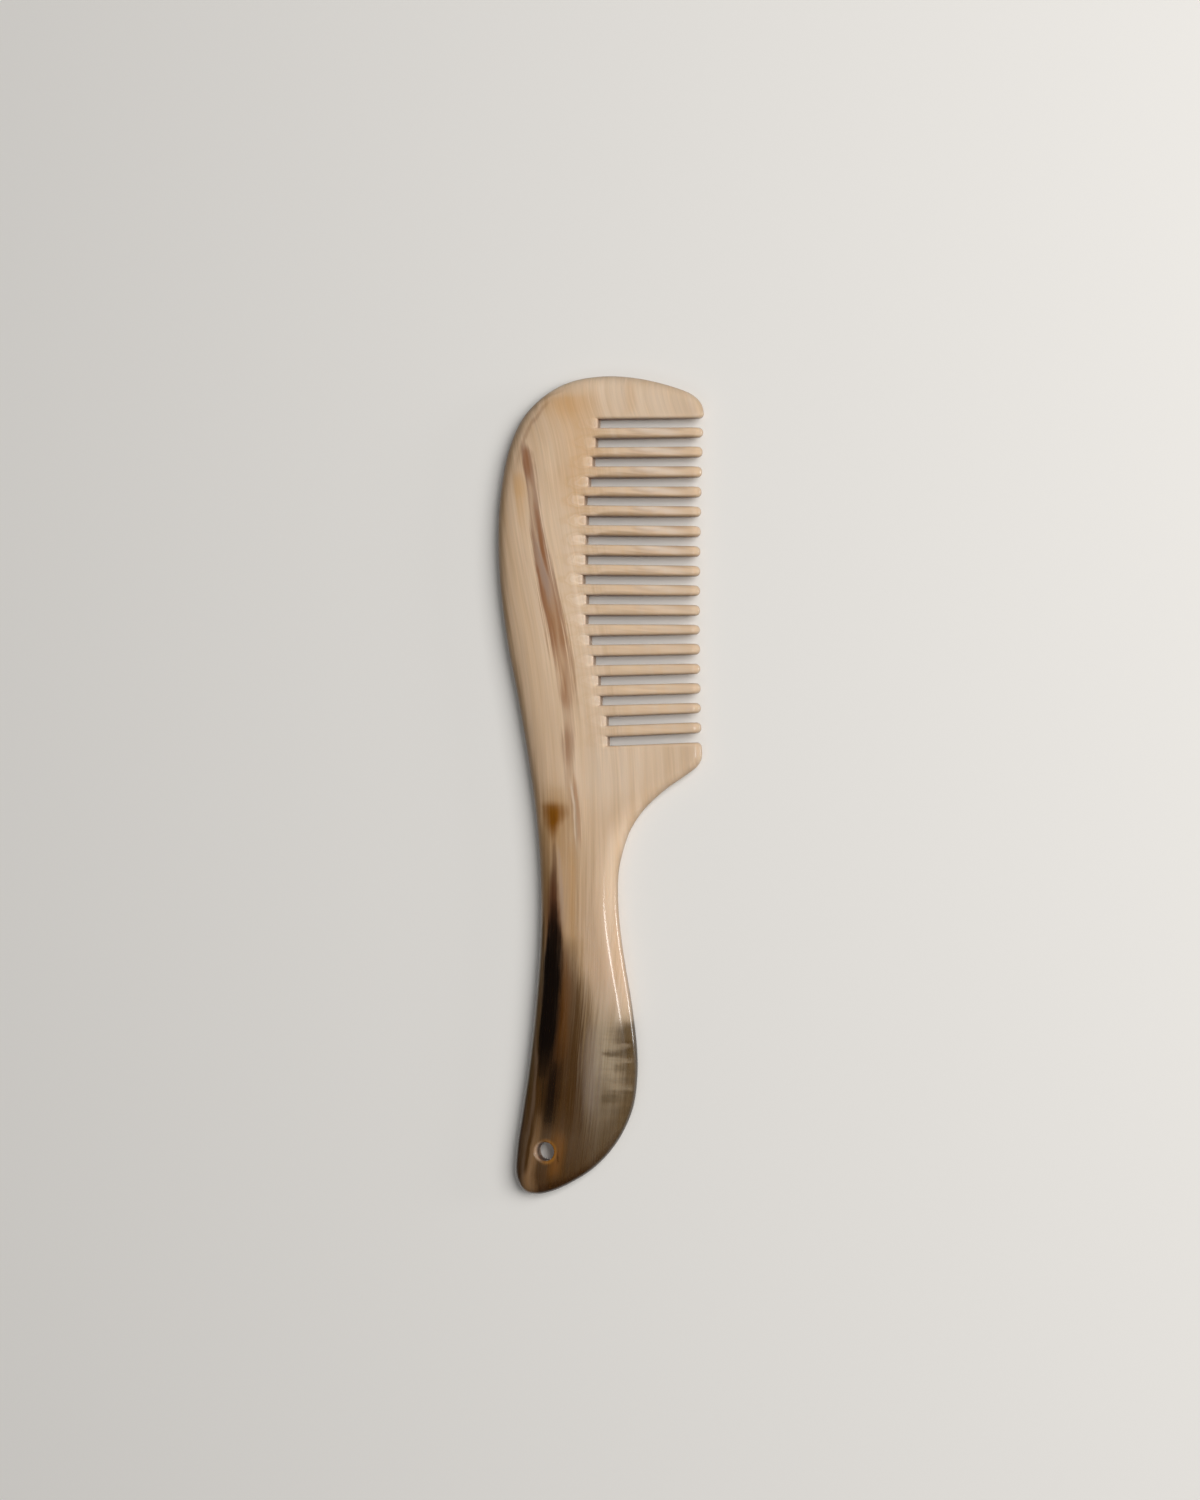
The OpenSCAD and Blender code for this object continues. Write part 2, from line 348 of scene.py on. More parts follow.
hole = next(m for m in frame["record"]["mounts"] if m["name"] == "hanging_hole")
HOLE_X, HOLE_Y = (value / MM for value in hole["pos_m"][:2])
HOLE_R = hole["dims"]["r_mm"]
# Half side of the patch that is made anew around the hole, the steps of the hole's rounding,
# and the rings of points between the patch and the rounding
HOLE_PATCH = 3.4
HOLE_STEPS = 7
PATCH_RINGS = 3


def drill_hole(shell):
    """Opens a patch of the handle's end and fills it in around the round, softened hole."""
    def reach(point):
        return max(abs(point.x / MM - HOLE_X), abs(point.y / MM - HOLE_Y))

    patch = {face for face in shell.faces if reach(face.calc_center_median()) < HOLE_PATCH}
    loop = [edge for edge in shell.edges if len(patch.intersection(edge.link_faces)) == 1]
    bmesh.ops.delete(shell, geom=list(patch), context="FACES")
    circle = bmesh.ops.create_circle(
        shell, segments=len(loop), radius=(HOLE_R + RIM_W) * MM,
        matrix=Matrix.Translation((HOLE_X * MM, HOLE_Y * MM, 0)))["verts"]
    settle(circle)
    ring = list({edge for v in circle for edge in v.link_edges})
    spokes = bmesh.ops.bridge_loops(shell, edges=loop + ring)["edges"]
    cut = bmesh.ops.subdivide_edges(shell, edges=spokes, cuts=PATCH_RINGS)
    settle([part for part in cut["geom_inner"] if isinstance(part, bmesh.types.BMVert)])
    ring = [edge for edge in shell.edges
            if edge.is_boundary and all(reach(v.co) < HOLE_PATCH for v in edge.verts)]
    for turn in np.linspace(0, math.pi / 2, HOLE_STEPS)[1:]:
        radius = HOLE_R + RIM_W * (1 - math.sin(turn))
        ring = sink_ring(shell, ring, radius, RIM_H * (1 - math.cos(turn)))
    drop_walls(shell, ring)


def settle(points):
    """Puts points of the handle onto the polished face."""
    x, y = np.array([v.co[:2] for v in points]).T / MM
    z = half_plate(x, y) * rounding(edge_gap(x, y), edge_width(x))
    for v, height in zip(points, z):
        v.co.z = height * MM


def sink_ring(shell, ring, radius, depth):
    """Extrudes a ring of the hole's rim inwards to a radius, at a depth below the face."""
    made = bmesh.ops.extrude_edge_only(shell, edges=ring)["geom"]
    points = [part for part in made if isinstance(part, bmesh.types.BMVert)]
    for v in points:
        angle = math.atan2(v.co.y - HOLE_Y * MM, v.co.x - HOLE_X * MM)
        v.co.x = (HOLE_X + radius * math.cos(angle)) * MM
        v.co.y = (HOLE_Y + radius * math.sin(angle)) * MM
    settle(points)
    for v in points:
        v.co.z -= depth * MM
    return [part for part in made if isinstance(part, bmesh.types.BMEdge)
            and all(v in points for v in part.verts)]


# Points nearer than this become one, and an edge that turns by more than this angle stays sharp
MERGE = 0.002
SHARP_ANGLE = math.radians(42)


def add_object(name, data):
    made = bpy.data.objects.new(name, data)
    bpy.context.scene.collection.objects.link(made)
    return made


def add_comb():
    """The comb: its upper half is shaped, and mirrored for the lower one."""
    shell, rows, place = comb_mesh()
    saw_slots(shell, rows, place)
    drill_hole(shell)
    bmesh.ops.remove_doubles(shell, verts=shell.verts, dist=MERGE * MM)
    bmesh.ops.mirror(shell, geom=[*shell.verts, *shell.edges, *shell.faces], matrix=Matrix(),
                     merge_dist=MERGE * MM, axis="Z")
    bmesh.ops.recalc_face_normals(shell, faces=shell.faces)
    bmesh.ops.translate(shell, verts=shell.verts, vec=(0, 0, PLATE / 2 * MM))
    for face in shell.faces:
        face.smooth = True
    for edge in shell.edges:
        if len(edge.link_faces) == 2 and edge.calc_face_angle() > SHARP_ANGLE:
            edge.smooth = False
    mesh = bpy.data.meshes.new("horn_comb")
    shell.to_mesh(mesh)
    shell.free()
    return add_object("horn_comb", mesh)


def colour(code):
    """A colour named by its screen code, such as 0xc9ae93, as the shaders take it."""
    parts = [(code >> shift & 255) / 255 for shift in (16, 8, 0)]
    return tuple(v / 12.92 if v <= 0.04045 else ((v + 0.055) / 1.055) ** 2.4 for v in parts) + (1,)


# Screen codes of the horn's colours
BLOND = 0xd1b699
PALE_BLOND = 0xdcc8b2
DEEP_BLOND = 0xbb9d7e
TAN = 0xa8855e
PAINTED_GLOW = 0xa8702c
AMBER = 0xc4945c
HONEY = 0xc59a6a
ROSE_BROWN = 0x8f6344
MAUVE_BROWN = 0x96745c
MAUVE = 0xa98f7a
SLATE = 0xa3938a
LILAC = 0x8d7c6e
# Painted shade on the sawn walls
WALL_SHADE_BROWN = 0xc29569
ROSY = 0xa2754f
DEEP_TAN = 0x9c7b4e
LENS_LIGHT = 0xd8c5b2
# Painted highlight on the hole's rim
RIM_LIGHT = 0xa88e78
SPOT_BROWN = 0x764500
FLANK_BROWN = 0x7c5c38
RUST_BROWN = 0x54301a
BURNT = 0x643d16
AMBER_BROWN = 0x784c1c
DARK_SHOULDER = 0x371e08
DARK_BROWN = 0x452a0a
OLIVE = 0x473419
OLIVE_RIM = 0x564124
BLACK_HORN = 0x0d0400
WARM_LIGHT = 0x8c6c4c
DULL_LIGHT = 0x6f5a48

# Ground colour of the horn down the comb, [y, colour]
GROUND = [
    (20, BLOND), (-15, 0xcaae91), (-42, 0xc6a98d), (-49, 0xbda48a),
    (-56, 0xa28f76), (-63, 0x9f8d75), (-70, 0x816f58), (-91, 0x523c26),
]

# The grain runs along this line, [y, x]
GRAIN = [
    (93, -21), (78, -17.5), (60, -14.5), (45, -11.5), (30, -8.5), (15, -6.5),
    (0, -5.3), (-20, -4.6), (-45, -4.8), (-60, -6), (-75, -7.2), (-93, -9),
]

# Marks in the horn, some of them painted light and shade: name, colour, softness, raggedness and rows of
# [y, x, half width, strength]
Mark =namedtuple("Mark", "name colour soft ragged rows")


def as_marks(*rows):
    return [Mark(*row) for row in rows]


MARKS = as_marks(
    # Painted shade: the head is darker towards the spine
    ("shade by the spine", DEEP_BLOND, 1, 0.3, [
        (92, -8, 4, 0), (84, -14, 5, 0.35), (70, -20.5, 5, 0.5), (55, -21.5, 5, 0.5), (40, -20, 5, 0.5),
        (25, -17, 4.5, 0.5), (10, -13.5, 4.5, 0.5), (-5, -12.2, 3.5, 0.5), (-20, -11, 2.5, 0.4),
        (-34, -10, 2, 0)]),
    ("pale crown", PALE_BLOND, 1, 0.5, [
        (94, 3, 5, 0.3), (89, 9, 8, 0.4), (85, 13, 9, 0.35), (81.5, 14, 9, 0.2), (80, 14, 8, 0)]),
    ("tan streak of the crown", AMBER, 1, 0.5, [
        (93.2, 7.2, 1, 0), (89.5, 7.8, 1.3, 0.22), (86, 8, 1.3, 0.22), (82.5, 6.5, 1.2, 0)]),
    # Painted light: the head is lighter towards the roots of the teeth
    ("pale field by the roots", PALE_BLOND, 1, 0.5, [
        (72, -9, 2, 0), (60, -8.3, 3, 0.15), (48, -7, 3, 0.15), (34, -4, 2.5, 0.1), (22, -2, 2.5, 0)]),
    ("pale heel", PALE_BLOND, 1, 0.5, [
        (11, 8, 5, 0), (7, 6, 8, 0.35), (2, 4, 8, 0.35), (-4, 2, 4, 0.2), (-10, 1, 2, 0)]),
    ("amber cloud", AMBER, 1, 0.5, [
        (92, -5, 3, 0), (89, -7.5, 5, 0.3), (87, -7, 5, 0.6), (84.5, -6, 4.5, 0.5), (80, -4, 4, 0.35),
        (75, -3.5, 4, 0.35), (70, -5, 4.5, 0.3), (65, -4.5, 4, 0.25), (60, -4.5, 3, 0.12),
        (56, -4.5, 2, 0)]),
    ("honey oval", HONEY, 0.8, 0.4, [
        (74, -18.6, 0.8, 0), (71, -18.7, 1.2, 0.4), (68, -18.6, 1.3, 0.65), (65.5, -18.3, 1.1, 0.45),
        (60, -18, 0.9, 0.2), (54, -17.6, 0.8, 0)]),
    ("growth line", ROSE_BROWN, 0.8, 0.4, [
        (89, -11, 0.4, 0), (87, -12.5, 0.5, 0.25), (84, -14.8, 0.5, 0.35), (81, -16.8, 0.5, 0.35),
        (78, -18, 0.45, 0.3), (74, -18.9, 0.4, 0.15), (70, -19.4, 0.4, 0)]),
    # The spine's rim is darker brown: partly browner horn, partly painted shade
    ("brown rim of the spine", FLANK_BROWN, 0.7, 0.2, [
        (92, -8, 1, 0), (88.5, -14.2, 1.5, 0.5), (84, -18.5, 1.6, 0.6), (77, -21.6, 1.6, 0.6),
        (68, -23.4, 1.6, 0.6), (58, -24, 1.6, 0.6), (47, -23.5, 1.6, 0.6), (33, -21.6, 1.6, 0.6),
        (19, -18.7, 1.6, 0.6), (6, -16.2, 1.6, 0.6), (-8, -14, 1.4, 0.5), (-20, -13, 1.2, 0)]),
    ("long vein", MAUVE_BROWN, 0.45, 1.1, [
        (80, -17.8, 0.4, 0), (76, -17, 1.1, 0.8), (68, -15.4, 1.1, 0.8), (60, -14.6, 1.45, 0.9),
        (52, -13.1, 1.85, 0.9), (44, -11.4, 2.1, 0.9), (36, -9.6, 2.3, 0.95), (30, -8.3, 2.2, 0.65),
        (25, -7, 1.7, 0.45), (20, -6.6, 1.6, 0.5), (15, -6, 1.5, 0.3), (9, -6.4, 1.5, 0.6),
        (3, -6.2, 1.2, 0.4), (-5, -5, 0.8, 0.3), (-12, -4.4, 0.7, 0)]),
    ("rosy body of the vein", ROSY, 0.9, 1.2, [
        (52, -12.8, 1, 0), (44, -11.4, 1.7, 0.45), (36, -9.6, 2, 0.55), (28, -8, 1.8, 0.4),
        (20, -6.7, 1.4, 0.35), (14, -6.3, 1, 0)]),
    ("vein's slate core", SLATE, 0.9, 1.6, [
        (59, -14.6, 0.4, 0), (53, -13.4, 0.7, 0.4), (46, -11.8, 0.8, 0.4), (41, -10.6, 0.6, 0.15),
        (37, -10, 0.6, 0)]),
    ("pale fibres in the vein", BLOND, 0.8, 1.6, [
        (72, -16.2, 0.25, 0), (67, -15.7, 0.35, 0.4), (61, -15.4, 0.35, 0.35), (50, -12.2, 0.3, 0.25),
        (38, -9.6, 0.35, 0.2), (30, -8.4, 0.4, 0.3), (22, -6.6, 0.3, 0.3), (14, -6.4, 0.3, 0)]),
    ("vein's right border", ROSE_BROWN, 0.7, 0.7, [
        (66, -14.8, 0.25, 0), (62, -14.3, 0.45, 0.6), (58, -13.5, 0.55, 0.9), (54.5, -12.8, 0.6, 1),
        (51, -12.1, 0.5, 0.85), (48, -11.5, 0.4, 0.5), (44, -10.8, 0.35, 0)]),
    ("vein's left border", ROSE_BROWN, 0.7, 0.7, [
        (53, -14.7, 0.25, 0), (49, -14, 0.4, 0.75), (45, -13, 0.5, 0.85), (41, -12.1, 0.5, 0.65),
        (37, -11, 0.55, 0.5), (33, -10.2, 0.5, 0.3), (28, -9.4, 0.5, 0)]),
    ("vein's head", ROSE_BROWN, 0.8, 0.6, [
        (79, -17.6, 0.4, 0), (76.5, -17.1, 0.8, 0.8), (74, -16.8, 0.9, 0.95), (71, -16.3, 0.7, 0.7),
        (66, -15.5, 0.5, 0)]),
    ("vein's tail", ROSE_BROWN, 0.9, 0.8, [
        (30, -8, 0.5, 0), (26, -7.3, 0.6, 0.25), (20, -6.9, 0.6, 0.45), (15.5, -6.2, 0.5, 0.1),
        (9.5, -6.6, 0.7, 0.45), (5, -6.4, 0.6, 0.2), (1, -6.3, 0.4, 0)]),
    ("tan side of the neck", TAN, 0.9, 0.7, [
        (5, -9, 2.4, 0), (-2, -8.8, 3.6, 0.55), (-8, -8.4, 4, 0.85), (-14, -8, 4.2, 0.85),
        (-20, -7.4, 4.4, 0.7), (-28, -7, 4.4, 0.65), (-36, -7, 4, 0.5), (-43, -7, 4, 0)]),
    ("mauve lines of the neck", MAUVE, 0.8, 1.6, [
        (2, -4.6, 0.5, 0), (-3, -4.8, 0.9, 0.5), (-8, -4.3, 1, 0.5), (-12, -3.8, 0.9, 0.4),
        (-18, -3.6, 0.6, 0)]),
    ("light thread of the neck", PALE_BLOND, 0.7, 0.8, [
        (3, -5.8, 0.15, 0), (-1, -5.4, 0.25, 0.5), (-6, -4.9, 0.25, 0.6), (-11, -4.4, 0.2, 0.5),
        (-18, -3.6, 0.2, 0)]),
    ("dark thread of the neck", ROSY, 0.8, 0.8, [
        (4, -5, 0.3, 0), (-1, -4.5, 0.4, 0.55), (-6, -3.9, 0.4, 0.5), (-11, -3.3, 0.35, 0.4),
        (-18, -2.6, 0.3, 0)]),
    ("spot's halo", TAN, 1, 0.4, [
        (-2.2, -9.5, 1.6, 0), (-5, -9.3, 3, 0.6), (-8, -9.5, 3, 0.75), (-12, -9.7, 2.2, 0.6),
        (-20, -9.3, 1.1, 0)]),
    ("amber spot", SPOT_BROWN, 0.9, 0.5, [
        (-2.9, -10.3, 1.2, 0), (-4.6, -10, 2.2, 0.6), (-6.2, -9.6, 2.4, 0.95), (-7.8, -9.5, 2, 1),
        (-9.6, -9.8, 1.3, 0.9), (-12, -9.8, 0.8, 0.5), (-17, -9.6, 0.5, 0)]),
    ("flank of the neck", FLANK_BROWN, 0.9, 0.4, [
        (-3, -12.8, 1, 0), (-12, -12.2, 1.4, 0.4), (-18, -11.7, 1.8, 0.65), (-24, -11.3, 1.9, 0.8),
        (-30, -11.5, 1.8, 0.8), (-36, -12, 1.6, 0.7), (-44, -12.4, 1.4, 0)]),
    ("thread above the black vein", RUST_BROWN, 0.8, 0.5, [
        (-11, -9.5, 0.25, 0), (-14, -9.5, 0.4, 0.4), (-18, -9.4, 0.7, 0.6), (-22, -9.5, 1, 0.85),
        (-26, -9.5, 1.4, 0.95), (-30, -9.4, 1.7, 0.95), (-36, -9.3, 2, 0.7), (-42, -9.2, 2, 0)]),
    ("light line of the neck", MAUVE, 0.9, 0.6, [
        (-12, -8.6, 0.4, 0), (-16, -8.2, 0.5, 0.6), (-21, -7.8, 0.5, 0.7), (-26, -7.4, 0.6, 0.6),
        (-31, -7.1, 0.5, 0.4), (-37, -7, 0.4, 0)]),
    ("amber line of the neck", AMBER, 0.9, 0.9, [
        (-10, -5.8, 0.4, 0), (-20, -5.3, 0.8, 0.22), (-30, -4.9, 0.8, 0.22), (-42, -4.5, 0.6, 0)]),
    # Painted sheen along the right edge of the neck
    ("pale edge of the neck", PALE_BLOND, 1, 0.3, [
        (-6, 6.5, 2, 0), (-14, 4.9, 1.8, 0.3), (-22, 3.8, 1.5, 0.3), (-32, 3.8, 1.6, 0.2),
        (-44, 4, 1.8, 0)]),
    ("tan edge of the brown cast", DEEP_TAN, 0.9, 0.5, [
        (-30, -5, 1.5, 0), (-38, -4.2, 2.4, 0.4), (-45, -3.2, 2.4, 0.45), (-53, -2.4, 2.4, 0.5),
        (-61, -2.4, 2.4, 0.35), (-70, -2.8, 2.4, 0)]),
    ("brown cast", DARK_BROWN, 0.42, 0.5, [
        (-31, -8, 1.5, 0), (-36, -8.5, 4, 0.3), (-42, -8.8, 5.8, 0.65), (-49, -8.8, 7.4, 0.85),
        (-56, -8.8, 8, 0.9), (-63, -9, 8.1, 0.95), (-70, -9.5, 8.2, 0.95), (-77, -10, 8.7, 0.85),
        (-84, -10, 9, 0.6), (-90, -10, 10, 0.7)]),
    ("dark shoulder of the black vein", DARK_SHOULDER, 0.8, 0.5, [
        (-28, -8.6, 0.4, 0), (-33, -8.3, 0.7, 0.5), (-40, -8, 0.9, 0.8), (-48, -7.9, 1, 0.85),
        (-56, -8.2, 1.1, 0.85), (-63, -8.6, 1.3, 0.7), (-70, -8.8, 1.4, 0.5), (-78, -9, 1.2, 0)]),
    ("burnt flank", BURNT, 0.9, 0.5, [
        (-33, -7, 0.5, 0), (-38, -6.6, 0.8, 0.4), (-44, -6.3, 1.1, 0.6), (-52, -6.5, 1.2, 0.6),
        (-60, -6.9, 1.2, 0.35), (-68, -7.4, 1, 0)]),
    ("amber light beside the hole", AMBER_BROWN, 1, 0.7, [
        (-75, -7.6, 0.8, 0), (-80, -7.8, 1.3, 0.5), (-84, -8.1, 1.4, 0.75), (-88, -8.9, 1.4, 0.55),
        (-92, -9.8, 0.8, 0)]),
    ("lilac band of the handle", LILAC, 0.9, 1.6, [
        (-50, -0.2, 0.6, 0), (-56, 0, 1.2, 0.4), (-62, 0, 1.4, 0.5), (-69, -0.1, 1.5, 0.5),
        (-75, -0.2, 1.3, 0.15), (-79, -0.4, 1.2, 0)]),
    ("olive edge", OLIVE, 0.8, 0.4, [
        (-50, 9.5, 1, 0), (-54, 9, 2.8, 0.65), (-57, 8.8, 3.2, 0.95), (-63, 9.8, 3.4, 0.9),
        (-67, 10.2, 3, 0.8), (-73, 8.8, 2.9, 0.7), (-78, 6, 3.4, 0.55), (-84, 1.5, 3.4, 0.3),
        (-89, -4, 3, 0.2)]),
    ("dark lower rim of the end", DARK_SHOULDER, 1, 0.3, [
        (-92.5, -11, 4, 0.6), (-91.3, -9.3, 3.3, 0.6), (-90.3, -6.6, 2.3, 0.6), (-88.8, -3.6, 1.6, 0.55),
        (-86.5, -0.5, 1.3, 0.45), (-83, 2.8, 1.1, 0.35), (-79, 5.8, 0.9, 0.2), (-75, 8.3, 0.8, 0)]),
    ("black vein", BLACK_HORN, 0.45, 0.5, [
        (-23, -9.4, 0.4, 0), (-27, -9.5, 0.7, 0.4), (-30, -9.5, 0.95, 0.75), (-34, -9.4, 1.4, 0.95),
        (-40, -9.7, 1.85, 1), (-46, -9.8, 2, 1), (-52, -10.3, 2.05, 1), (-58, -10.8, 2, 1),
        (-62, -11.2, 1.7, 0.9), (-66, -11.7, 1.2, 0.65), (-71, -11.8, 1, 0)]),
    ("black root", BLACK_HORN, 0.9, 0.7, [
        (-58, -9.4, 0.8, 0), (-64, -9.2, 1.3, 0.6), (-70, -9.8, 1.5, 0.85), (-76, -10.3, 1.4, 0.7),
        (-81, -10.6, 1, 0)]),
    ("olive rim", OLIVE_RIM, 0.8, 0.3, [
        (-24, -13, 0.6, 0), (-34, -12.5, 0.9, 0.8), (-42, -12.8, 0.9, 0.9), (-50, -13.3, 0.9, 0.9),
        (-58, -13.9, 0.9, 0.8), (-66, -14.8, 0.9, 0.6), (-74, -15.8, 0.9, 0.4), (-82, -17, 0.9, 0)]),
    # A pale streak along the left rim: partly the horn's streak, partly a painted reflection
    ("light line of the rim", DULL_LIGHT, 0.9, 1.1, [
        (-48, -12.9, 0.3, 0), (-56, -13.6, 0.35, 0.6), (-64, -13.4, 0.35, 0.6), (-70, -13.8, 0.45, 0.7),
        (-76, -14.5, 0.5, 0.6), (-82, -15.5, 0.4, 0.4), (-88, -16.2, 0.4, 0.6), (-92, -16, 0.4, 0)]),
    # A warm streak left of the hole: partly the horn's streak, partly a painted reflection
    ("warm light by the hole", WARM_LIGHT, 1, 0.6, [
        (-71, -12.2, 0.5, 0), (-76, -12.6, 0.8, 0.35), (-80, -13.2, 0.9, 0.6), (-84, -14, 0.95, 0.8),
        (-87, -14.4, 0.8, 0.85), (-90, -15, 1.2, 1), (-92.6, -14.9, 1.5, 0.9)]),
    ("dark left rim of the end", DARK_SHOULDER, 0.9, 0.3, [
        (-66, -15.2, 0.4, 0), (-73, -16.2, 0.6, 0.4), (-81, -17.4, 0.9, 0.6), (-87, -18, 0.8, 0.4),
        (-91, -17.6, 0.7, 0)]),
    ("dark stripe by the rim", DARK_BROWN, 0.7, 0.4, [
        (-72, -14.2, 0.25, 0), (-78, -14.2, 0.35, 0.6), (-83, -14.9, 0.4, 0.8), (-87, -15.5, 0.3, 0.6),
        (-90, -15.6, 0.3, 0)]),
)

# Marks along each tooth, rows of [x, height above the tooth's middle, half height, strength]
TOOTH_MARKS = as_marks(
    # Each tooth's lower side is browner: partly the horn's colour, partly painted shade
    ("brown lower side", FLANK_BROWN, 0.8, 1, [
        (-2, -1.3, 0.2, 0), (1, -1.1, 0.5, 0.5), (7, -1, 0.6, 0.5), (14, -1.15, 0.5, 0.45),
        (22, -1.1, 0.35, 0.4), (24.4, -1.1, 0.3, 0.2)]),
    ("mauve lens", MAUVE, 0.9, 1.5, [
        (6, 0.9, 0.3, 0), (9, 0.4, 0.5, 0.4), (12, 0.1, 0.5, 0.5), (15, 0.6, 0.4, 0.5),
        (19, 0.8, 0.4, 0.55), (23, 0.9, 0.3, 0)]),
    ("light lens", LENS_LIGHT, 1, 1, [
        (7, 1, 0.3, 0), (10, 0.8, 0.5, 0.5), (13, 0.5, 0.6, 0.8), (16, 0.1, 0.6, 0.8),
        (19, -0.2, 0.5, 0.4), (22.5, -0.3, 0.4, 0)]),
)
# How strongly the teeth at a height show their lenses, [y, strength]. The lenses lie farther
# along each lower tooth, by this much for each millimetre below this height.
LENS_STRENGTH = [(86, 0.1), (80, 0.9), (74, 1), (58, 1), (50, 0.8), (42, 0.5), (32, 0.3), (12, 0.2)]
LENS_LEAN = 0.05
LENS_LEVEL = 66

# Ripples across the belly of the handle, rows of [x, y, half height, strength]
RIPPLE_DARK = 0x5b4a33
RIPPLE_LIGHT = 0x9c8a72
RIPPLES = as_marks(
    ("upper ripple", RIPPLE_DARK, 0.9, 0.6, [
        (5, -56, 0.5, 0), (7.4, -56.2, 1.2, 0.6), (9, -56.2, 1.4, 0.75), (10.5, -56, 1.4, 0.7)]),
    ("light above the middle ripple", RIPPLE_LIGHT, 0.9, 0.6, [
        (2, -59.5, 0.3, 0), (4, -59.5, 0.45, 0.5), (8, -59.3, 0.45, 0.4), (10, -59.3, 0.4, 0)]),
    ("middle ripple", RIPPLE_DARK, 0.9, 0.7, [
        (1.6, -60.9, 0.3, 0), (3.6, -60.9, 0.6, 0.75), (5.6, -60.8, 0.5, 0.6), (8, -60.8, 0.45, 0.3),
        (10, -60.6, 0.4, 0.2)]),
    ("light below the middle ripple", RIPPLE_LIGHT, 0.9, 0.6, [
        (2.5, -62.4, 0.3, 0), (5, -62.3, 0.5, 0.45), (8.5, -62.2, 0.45, 0.35), (10, -62, 0.4, 0)]),
    ("faint ripple", RIPPLE_DARK, 1, 0.8, [
        (4, -64, 0.4, 0), (6.5, -64, 0.6, 0.5), (9, -63.8, 0.7, 0.5), (10.5, -63.8, 0.6, 0.4)]),
    ("light above the lower ripple", RIPPLE_LIGHT, 1, 0.8, [
        (3, -68.6, 0.4, 0), (5.5, -68.5, 0.6, 0.4), (8.5, -68.2, 0.6, 0.4), (10, -68, 0.5, 0)]),
    ("lower ripple", RIPPLE_DARK, 0.8, 0.6, [
        (1.4, -70.8, 0.8, 0), (3, -70.9, 1.1, 0.6), (5, -70.9, 1.1, 0.6), (6.8, -70.9, 0.9, 0.2),
        (8, -70.9, 0.7, 0)]),
)
# Marbling between the ripples: how strong it is down the handle, [y, strength], the x it
# rises between, and how far that edge swings
MARBLING = [(-50, 0), (-55, 0.6), (-60, 1), (-68, 1), (-74, 0.6), (-80, 0.2), (-86, 0)]
MARBLE_FROM, MARBLE_TO = -1, 6
MARBLE_EDGE = 6

# A mark's curves hold its rows as shares of these reaches
LONG_REACH = 95
WIDE_REACH = 25


def add_node(tree, kind, **settings):
    made = tree.nodes.new("ShaderNode" + kind)
    for name, value in settings.items():
        setattr(made, name, value)
    return made


def feed(socket, value):
    """Links an output to a socket, or sets the socket to a plain value."""
    if isinstance(value, bpy.types.NodeSocket):
        socket.id_data.links.new(value, socket)
    else:
        socket.default_value = value


def feed_all(node, values):
    """Feeds a node's sockets by their names."""
    for name, value in values.items():
        feed(node.inputs[name], value)


def tree_of(values):
    """The node tree that the first socket among values belongs to."""
    return next(v.id_data for v in values if isinstance(v, bpy.types.NodeSocket))


def work_out(operation, *values, clamp=False):
    made = add_node(tree_of(values), "Math", operation=operation, use_clamp=clamp)
    for socket, value in zip(made.inputs, values):
        feed(socket, value)
    return made.outputs[0]


def times(value, *factors):
    for factor in factors:
        value = work_out("MULTIPLY", value, factor)
    return value


def times_plus(value, factor, added):
    return work_out("MULTIPLY_ADD", value, factor, added)


def less(value, taken):
    return work_out("SUBTRACT", value, taken)


def distance(a, b):
    """How far away a place is that lies a one way and b across it."""
    return work_out("SQRT", times_plus(a, a, times(b, b)))


def off_whole(value):
    """How far a value is from the nearest whole number."""
    return less(value, work_out("ROUND", value))


def shifted(value, noise, swing):
    """A value moved by up to half a swing each way by a noise."""
    return times_plus(less(noise, 0.5), swing, value)


def step(value, start, stop):
    """Rises smoothly from 0 to 1 as a value goes from start to stop."""
    made = add_node(value.id_data, "MapRange", interpolation_type="SMOOTHSTEP")
    feed_all(made, {"Value": value, "From Min": start, "From Max": stop})
    return made.outputs[0]


def parts_of(vector):
    made = add_node(vector.id_data, "SeparateXYZ")
    feed(made.inputs[0], vector)
    return made.outputs


def joined(*values):
    made = add_node(tree_of(values), "CombineXYZ")
    for socket, value in zip(made.inputs, values):
        feed(socket, value)
    return made.outputs[0]


def in_millimetres(place):
    made = add_node(place.id_data, "VectorMath", operation="SCALE")
    feed(made.inputs[0], place)
    feed(made.inputs["Scale"], 1 / MM)
    return made.outputs[0]


def blend(amount, under, over, way="MIX"):
    """The colour under, with the colour over laid on it by an amount."""
    made = add_node(amount.id_data, "Mix", data_type="RGBA", blend_type=way)
    for index, value in ((0, amount), (6, under), (7, over)):
        feed(made.inputs[index], value)
    return made.outputs[2]


# A noise has this many spots per millimetre along x, y and z, its detail and its roughness
Noise = namedtuple("Noise", "spots detail roughness", defaults=[0.5])


def noise_at(place, noise):
    sized = add_node(place.id_data, "VectorMath", operation="MULTIPLY")
    feed(sized.inputs[0], place)
    feed(sized.inputs[1], noise.spots)
    made = add_node(place.id_data, "TexNoise")
    feed_all(made, {"Vector": sized.outputs[0], "Scale": 1, "Detail": noise.detail,
                    "Roughness": noise.roughness})
    return made.outputs["Fac"]


# A curve runs level for this share of its reach past its first and last rows
LEVEL_RUN = 0.02


